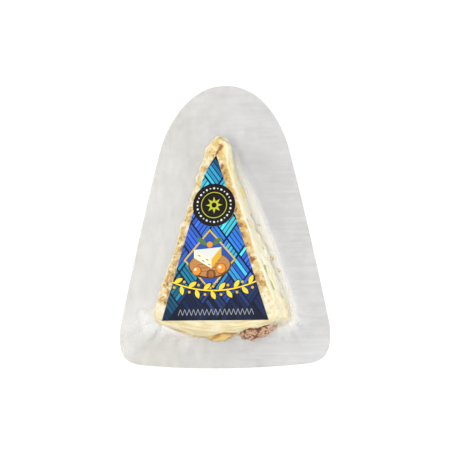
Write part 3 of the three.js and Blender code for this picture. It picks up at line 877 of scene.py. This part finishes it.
def make_crumbs(film):
    tree = tree_of([film])
    points, faces = [], []
    around, levels = 14, 9
    for number, (*at, size) in enumerate(CRUMBS):
        spot, normal = tree.find_nearest(Vector(at))[:2]
        middle = spot - UPWARD * ((0.8 * size + 0.1) / max(0.4, abs(normal.dot(UPWARD))))
        first = len(points)
        for k in range(levels):
            lift = pi * ((k + 0.5) / levels - 0.5)
            for i in range(around):
                way = 2 * pi * i / around
                lump = 1 + 0.22 * sin(3 * way + number) + 0.12 * cos(5 * lift + number)
                flat = size * cos(lift) * lump
                points.append(middle + Vector((
                    0.9 * flat * cos(way), 0.65 * flat * sin(way), 0.6 * size * sin(lift))))
        faces += ring_faces(first, levels, around)
        faces.append([first + i for i in reversed(range(around))])
        faces.append([first + (levels - 1) * around + i for i in range(around)])
    crumbs = smooth_object("crumbs", points, faces)
    s = Shader("crumb_bits")
    colour = s.mix(s.ranged(s.noise(0.8), 0.4, 0.6), CRUMB_DARK, CRUMB_LIGHT)
    dress(crumbs, s.finish(Base_Color=colour, Roughness=0.5, Normal=s.bump(s.noise(0.5), 0.1)))


# ---------- the label and the seal ----------
PAPER_THICK = 0.25
PAPER_WORN = (235, 238, 240)
INK = {
    "paper": (246, 244, 238), "line": (16, 26, 48), "royal": (38, 82, 170), "gold": (222, 178, 52),
    "cream": (246, 232, 204), "tan": (186, 132, 76), "brown": (138, 84, 42), "umber": (92, 54, 30),
    "orange": (230, 146, 52), "leaf": (84, 120, 62), "vein": (88, 122, 148), "black": (24, 20, 19),
    "white": (222, 222, 220), "lime": (190, 194, 44), "yellow": (246, 212, 58), "pale": (150, 152, 156),
}
# The label's ground: the spots that its blues spread from, and the blues.
BLUES = [
    (4, 31, 24, 88, 135), (3, 26, 38, 120, 175), (4, 21, 52, 160, 205), (2, 16.5, 70, 200, 228),
    (8, 13, 62, 195, 225), (-10, -8, 58, 105, 215), (-12, -16, 50, 95, 205), (-14, -24, 52, 100, 205),
    (-16, -31, 24, 130, 165), (-18, -38, 30, 120, 150), (-20, -48, 24, 84, 115), (-23, -56, 16, 50, 80),
    (12, -6, 70, 205, 225), (9, -11, 44, 120, 215), (14, -16, 48, 125, 225), (18, -21, 70, 205, 225),
    (15, -28, 60, 185, 225), (22, -27, 52, 110, 215), (12, -35, 50, 150, 210), (21, -36, 48, 95, 205),
    (25, -43, 34, 62, 140), (15, -45, 36, 64, 135), (0, -49, 34, 56, 106), (-10, -48, 32, 60, 112),
    (27, -50, 26, 44, 90), (-8, -54, 20, 34, 66), (10, -54, 22, 34, 68), (4, -59, 13, 21, 42), (-18, -59, 12, 24, 44),
    (28, -59, 10, 18, 38), (24, -56, 14, 24, 50),
]


def on_ring(centre, radius, angle):
    return centre[0] + radius * cos(angle), centre[1] + radius * sin(angle)


def arc_points(centre, radius, start, end, count):
    return [on_ring(centre, radius, a) for a in np.linspace(start, end, count)]


def disc(centre, radius, count=28):
    return arc_points(centre, radius, 0, 2 * pi * (1 - 1 / count), count)


def ribbon(centre, radius, spread, width):
    """A curved band: the part of a ring about its lowest point."""
    low, high = -pi / 2 - spread, -pi / 2 + spread
    inner = arc_points(centre, radius - width / 2, low, high, 24)
    return arc_points(centre, radius + width / 2, low, high, 24) + inner[::-1]


def bar(start, end, width):
    a, b = np.array(start, float), np.array(end, float)
    side = np.array([-(b - a)[1], (b - a)[0]]) / np.linalg.norm(b - a) * width / 2
    return [tuple(a - side), tuple(b - side), tuple(b + side), tuple(a + side)]


def leaf(length, width, angle, at):
    """A pointed leaf's outline, from its foot."""
    xs = np.linspace(0, length, 15)
    half = [width / 2 * sin(pi * min(1, max(0, x / length))) ** 0.8 for x in xs]
    outline = [*zip(xs, half), *[(x, -y) for x, y in zip(xs, half)][-2:0:-1]]
    c, s = cos(angle), sin(angle)
    return [(at[0] + c * x - s * y, at[1] + s * x + c * y) for x, y in outline]


def grown(points, share):
    """A shape's outline, larger about its middle."""
    x0, y0 = np.mean(points, axis=0)
    return [(x0 + (x - x0) * share, y0 + (y - y0) * share) for x, y in points]


def label_outline():
    start, handle, end = LABEL_TOP
    curve = [tuple((1 - t) ** 2 * start + 2 * t * (1 - t) * handle + t * t * end) for t in np.linspace(0, 1, 9)]
    return [*curve, *LABEL_FOOT]


def blue_near(x, y, light):
    """The ground's blue at a spot, a little lighter or darker."""
    near = min(BLUES, key=lambda row: dist(row[:2], (x, y)))
    return tuple(min(255, c * light) for c in near[2:])


def pane_shapes():
    """The label's ground: diamond panes with stripes that run now one way and now the other."""
    rng = np.random.default_rng(17)
    right, left = np.array([6.8, 9.4]), np.array([-6.8, 9.4])
    stripes, line = 5, 0.27
    shapes = []
    for column in range(-9, 10):
        for row in range(-9, 10):
            start = np.array([3.4, -62.0]) + column * right + row * left
            centre = start + (right + left) / 2
            if abs(centre[0] - 3) > 42 or not -76 < centre[1] < 44:
                continue
            long, short = (right, left) if (column + row) % 2 else (left, right)
            margin = line / np.linalg.norm(long)
            for k in range(stripes):
                low = k / stripes + margin * (2 if k == 0 else 1)
                high = (k + 1) / stripes - margin * (2 if k == stripes - 1 else 1)
                ends = ((2 * margin, low), (1 - 2 * margin, low), (1 - 2 * margin, high), (2 * margin, high))
                cell = [tuple(start + t * long + u * short) for t, u in ends]
                middle = np.mean(cell, axis=0) + rng.uniform(-2.5, 2.5, 2)
                shapes.append((cell, blue_near(*middle, rng.uniform(0.86, 1.14))))
    return shapes


def emblem_shapes():
    """A still life in the middle: board, wedge, apricots and a walnut on a gold lozenge."""
    board = disc((0, 0), 1, 32)
    shapes = [
        ([(0, 17.5), (-15, 0), (0, -17.5), (15, 0)], "gold"),
        ([(0, 16.1), (-13.8, 0), (0, -16.1), (13.8, 0)], "royal"),
        ([(x * 12.4, y * 7.4 - 3.4) for x, y in board], "umber"),
        ([(x * 11.656, y * 6.66 - 3.0) for x, y in board], "tan"),
        *((bar((k - 9, 1.9 * k - 6.6), (9.4 - k, 1.9 * k - 6.2), 0.35), "brown") for k in range(4)),
        ([(-9.1, 5.8), (1.0, 0.2), (6.7, 7.0)], "white"),
        ([(-9.1, 5.8), (-9.1, 1.2), (1.0, -5.0), (1.0, 0.2)], "cream"),
        ([(1.0, 0.2), (1.0, -5.0), (6.7, 2.0), (6.7, 7.0)], "gold"),
    ]
    for x, y in ((-6.7, 2.6), (-4.5, -0.4), (-2.1, 0.2), (-0.9, -2.6)):
        shapes.append((bar((x, y), (x + 1.4, y - 0.5), 0.55), "vein"))
    for x, y, r in ((6.6, -5.2, 3.1), (-7.4, -6.3, 2.8)):
        shapes.append((disc((x, y), r), "brown"))
        shapes.append((disc((x - 0.15, y + 0.15), r - 0.45), "orange"))
        shapes.append((disc((x - 0.8, y + 0.9), r * 0.28, 12), "cream"))
    shapes += [(disc((0.8, -8.2), 2.7), "umber"), (disc((0.8, -8.2), 2.2), "brown")]
    shapes += [(bar((0.8 + 0.9 * k, -9.7), (0.8 + 0.6 * k, -6.6), 0.3), "tan") for k in (-1, 0, 1)]
    shapes += [(leaf(7.0, 2.8, pi / 2 - side * 0.9, (1.5 * side, 8.2)), "leaf") for side in (-1, 1)]
    shapes.append((disc((0, 8.6), 1.7), "orange"))
    return [([(x + 0.5, y - 27) for x, y in outline], ink) for outline, ink in shapes]


def vine_shapes():
    """A bright yellow vine across the label's lower part, with leaves on both sides and berries."""
    centre, radius = (3.6, 16.0), 60.5
    dark = [(ribbon(centre, radius, 0.435, 1.7), "line")]
    bright = [(ribbon(centre, radius, 0.43, 0.8), "yellow")]
    for k in range(12):
        a = -pi / 2 - 0.40 + 0.80 * k / 11
        side, heading = (1, 0.5) if k % 2 else (-1, pi - 0.75)
        blade = leaf(5.4, 2.5, a + heading, on_ring(centre, radius + 0.2 * side, a))
        berry = on_ring(centre, radius - 2.4 * side, a + 0.018)
        dark += [(grown(blade, 1.28), "line"), (disc(berry, 1.15, 16), "line")]
        bright += [(blade, "yellow"), (disc(berry, 0.8, 16), "gold")]
    return dark + bright


def label_shapes():
    """The label's print, from the lowest layer up, ending in a thin pale zigzag: pairs of outline and ink."""
    spots = [(-17.5 + 43.0 * k / 34, -56.6 + (1.7 if k % 2 else -1.7)) for k in range(35)]
    zigzag = [(bar(start, end, 0.36), "pale") for start, end in zip(spots, spots[1:])]
    return [(label_outline(), "line")] + pane_shapes() + emblem_shapes() + vine_shapes() + zigzag


def seal_shapes():
    """The seal's print: a black disc with a ring of dots, a thin ring and a plain star."""
    spots = [on_ring(SEAL_AT, SEAL_DOTS, pi * k / 14) for k in range(28)]
    dots = [(disc(spot, 0.62 if k % 2 else 0.4, 12), "white") for k, spot in enumerate(spots)]
    star = [on_ring(SEAL_AT, 2.3 if k % 2 else 4.8, pi * (k + 4) / 8) for k in range(16)]
    return [
        (disc(SEAL_AT, SEAL_RADIUS, 72), "black"), *dots, (disc(SEAL_AT, SEAL_RING + 0.21, 60), "lime"),
        (disc(SEAL_AT, SEAL_RING - 0.21, 60), "black"), (star, "lime"), (disc(SEAL_AT, 1.5, 24), "black"),
    ]


def counter_clockwise(points):
    p = np.array(points)
    q = np.roll(p, -1, axis=0)
    return points if np.sum(p[:, 0] * q[:, 1] - q[:, 0] * p[:, 1]) > 0 else points[::-1]


def printed_sheet(name, shapes, node):
    """A thin sheet over a CAD node's top, cut along its print, each face with its topmost shape's ink."""
    coords, faces, seen = [], [], {}
    for outline, _ in shapes:
        face = []
        for x, y in counter_clockwise(outline):
            key = (round(x, 3), round(y, 3))
            if key not in seen:
                seen[key] = len(coords)
                coords.append(Vector(key))
            if not face or face[-1] != seen[key]:
                face.append(seen[key])
        faces.append(face)
    flat, _, triangles, _, _, owners = delaunay_2d_cdt(coords, [], faces, 1, 1e-4)
    kept = [(list(t), max(o)) for t, o in zip(triangles, owners) if 0 in o]
    used = sorted({v for t, _ in kept for v in t})
    place = {v: i for i, v in enumerate(used)}
    tree = tree_of([NODES[node]])
    upper = [(x, y, tree.find_nearest(Vector((x, y, TOP + 4)))[0].z) for x, y in (flat[v] for v in used)]
    lower = [(x, y, z - PAPER_THICK) for x, y, z in upper]
    count = len(upper)
    tops = [[place[v] for v in t] for t, _ in kept]
    edges = dict.fromkeys(edge for t in tops for edge in zip(t, t[1:] + t[:1]))
    rim = [[b, a, a + count, b + count] for a, b in edges if (b, a) not in edges]
    faces = tops + [[v + count for v in reversed(t)] for t in tops] + rim
    inks = [shapes[o][1] for _, o in kept] + ["paper"] * (len(tops) + len(rim))
    mesh = bpy.data.meshes.new(name)
    mesh.from_pydata((np.array(upper + lower) * MM).tolist(), [], faces)
    layer = mesh.color_attributes.new("ink", "FLOAT_COLOR", "CORNER")
    colours = {ink: linear(INK.get(ink, ink)) for ink in set(inks)}
    values = np.concatenate([np.tile(colours[ink], len(face)) for face, ink in zip(faces, inks)])
    layer.data.foreach_set("color", values.astype(np.float32))
    mesh.validate()
    sheet = new_object(name, mesh)
    s = Shader(name + "_print")
    fibre = s.noise(0.9, detail=3)
    ink = s.node("Attribute", {}, attribute_name="ink")["Color"]
    material = s.finish(
        Base_Color=s.mix(s.ranged(s.noise(7, detail=3), 0.35, 0.75, 0.0, 0.004), ink, PAPER_WORN),
        Roughness=s.ranged(fibre, 0.3, 0.7, 0.3, 0.42), Normal=s.bump(fibre, 0.04, 0.5), Specular_IOR_Level=0.12,
    )
    dress(sheet, material)
    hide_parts(node)


# ---------- camera, light and floor ----------
CAMERA_AT = (1.87, -1.28, 0.0)  # what the camera looks at
CAMERA_AWAY, CAMERA_LENS = 750.0, 99.54
CAMERA_RIGHT, CAMERA_LOW = radians(11.0), radians(9.5)
FLOOR_LEVEL = -0.2


def aim(thing, at_mm, from_mm):
    """Points a camera or a light, with +Y upwards in its picture."""
    at, start = Vector(at_mm) * MM, Vector(from_mm) * MM
    ahead = (at - start).normalized()
    right = ahead.cross(Vector((0, 1, 0))).normalized()
    thing.location = start
    thing.rotation_euler = Matrix((right, right.cross(ahead), -ahead)).transposed().to_euler()


def make_camera():
    data = bpy.data.cameras.new("camera")
    data.lens = CAMERA_LENS
    data.sensor_width = 36
    data.clip_start, data.clip_end = 0.05, 20
    camera = new_object("camera", data)
    way = np.array([np.tan(CAMERA_RIGHT), -np.tan(CAMERA_LOW), 1.0])
    aim(camera, CAMERA_AT, np.array(CAMERA_AT) + way / np.linalg.norm(way) * CAMERA_AWAY)
    bpy.context.scene.camera = camera


def make_light(name, at, size_mm, watts, shadow=True):
    data = bpy.data.lights.new(name, "AREA")
    data.size = size_mm * MM
    data.energy = watts
    data.use_shadow = shadow
    aim(new_object(name, data), (0, 0, 0), at)


def make_stage():
    """A world that is bright at the level and dim overhead, three lights, and a white floor."""
    s = Shader("studio", world=True)
    level = s.node("SeparateXYZ", {0: s.coords})["Z"]
    bpy.context.scene.world = s.finish(Color=(255, 255, 255), Strength=s.ranged(level, 0.2, 0.75, 1.16, 0.22))
    make_light("front", (140, -280, 1500), 500, 13.7)
    make_light("left", (-700, 150, 1250), 600, 3.3)
    make_light("right", (900, -150, 460), 500, 2.0, shadow=False)
    bpy.ops.mesh.primitive_grid_add(x_subdivisions=8, y_subdivisions=8, size=6)
    floor = bpy.context.object
    floor.name = "floor"
    floor.location.z = FLOOR_LEVEL * MM
    s = Shader("floor_paper")
    tone = s.mix(s.ranged(s.noise(60), 0.3, 0.7), FLOOR_DULL, FLOOR_LIGHT)
    floor.data.materials.append(s.finish(Base_Color=tone, Roughness=0.9))
    bpy.context.scene.view_settings.view_transform = "Standard"


make_camera()
make_stage()
contents = [make_cheese(), make_walnut(), make_apricot()]
make_crumbs(make_film_top(contents))
make_film_base(contents)
printed_sheet("label_sheet", label_shapes(), "label")
printed_sheet("seal_disc", seal_shapes(), "seal")
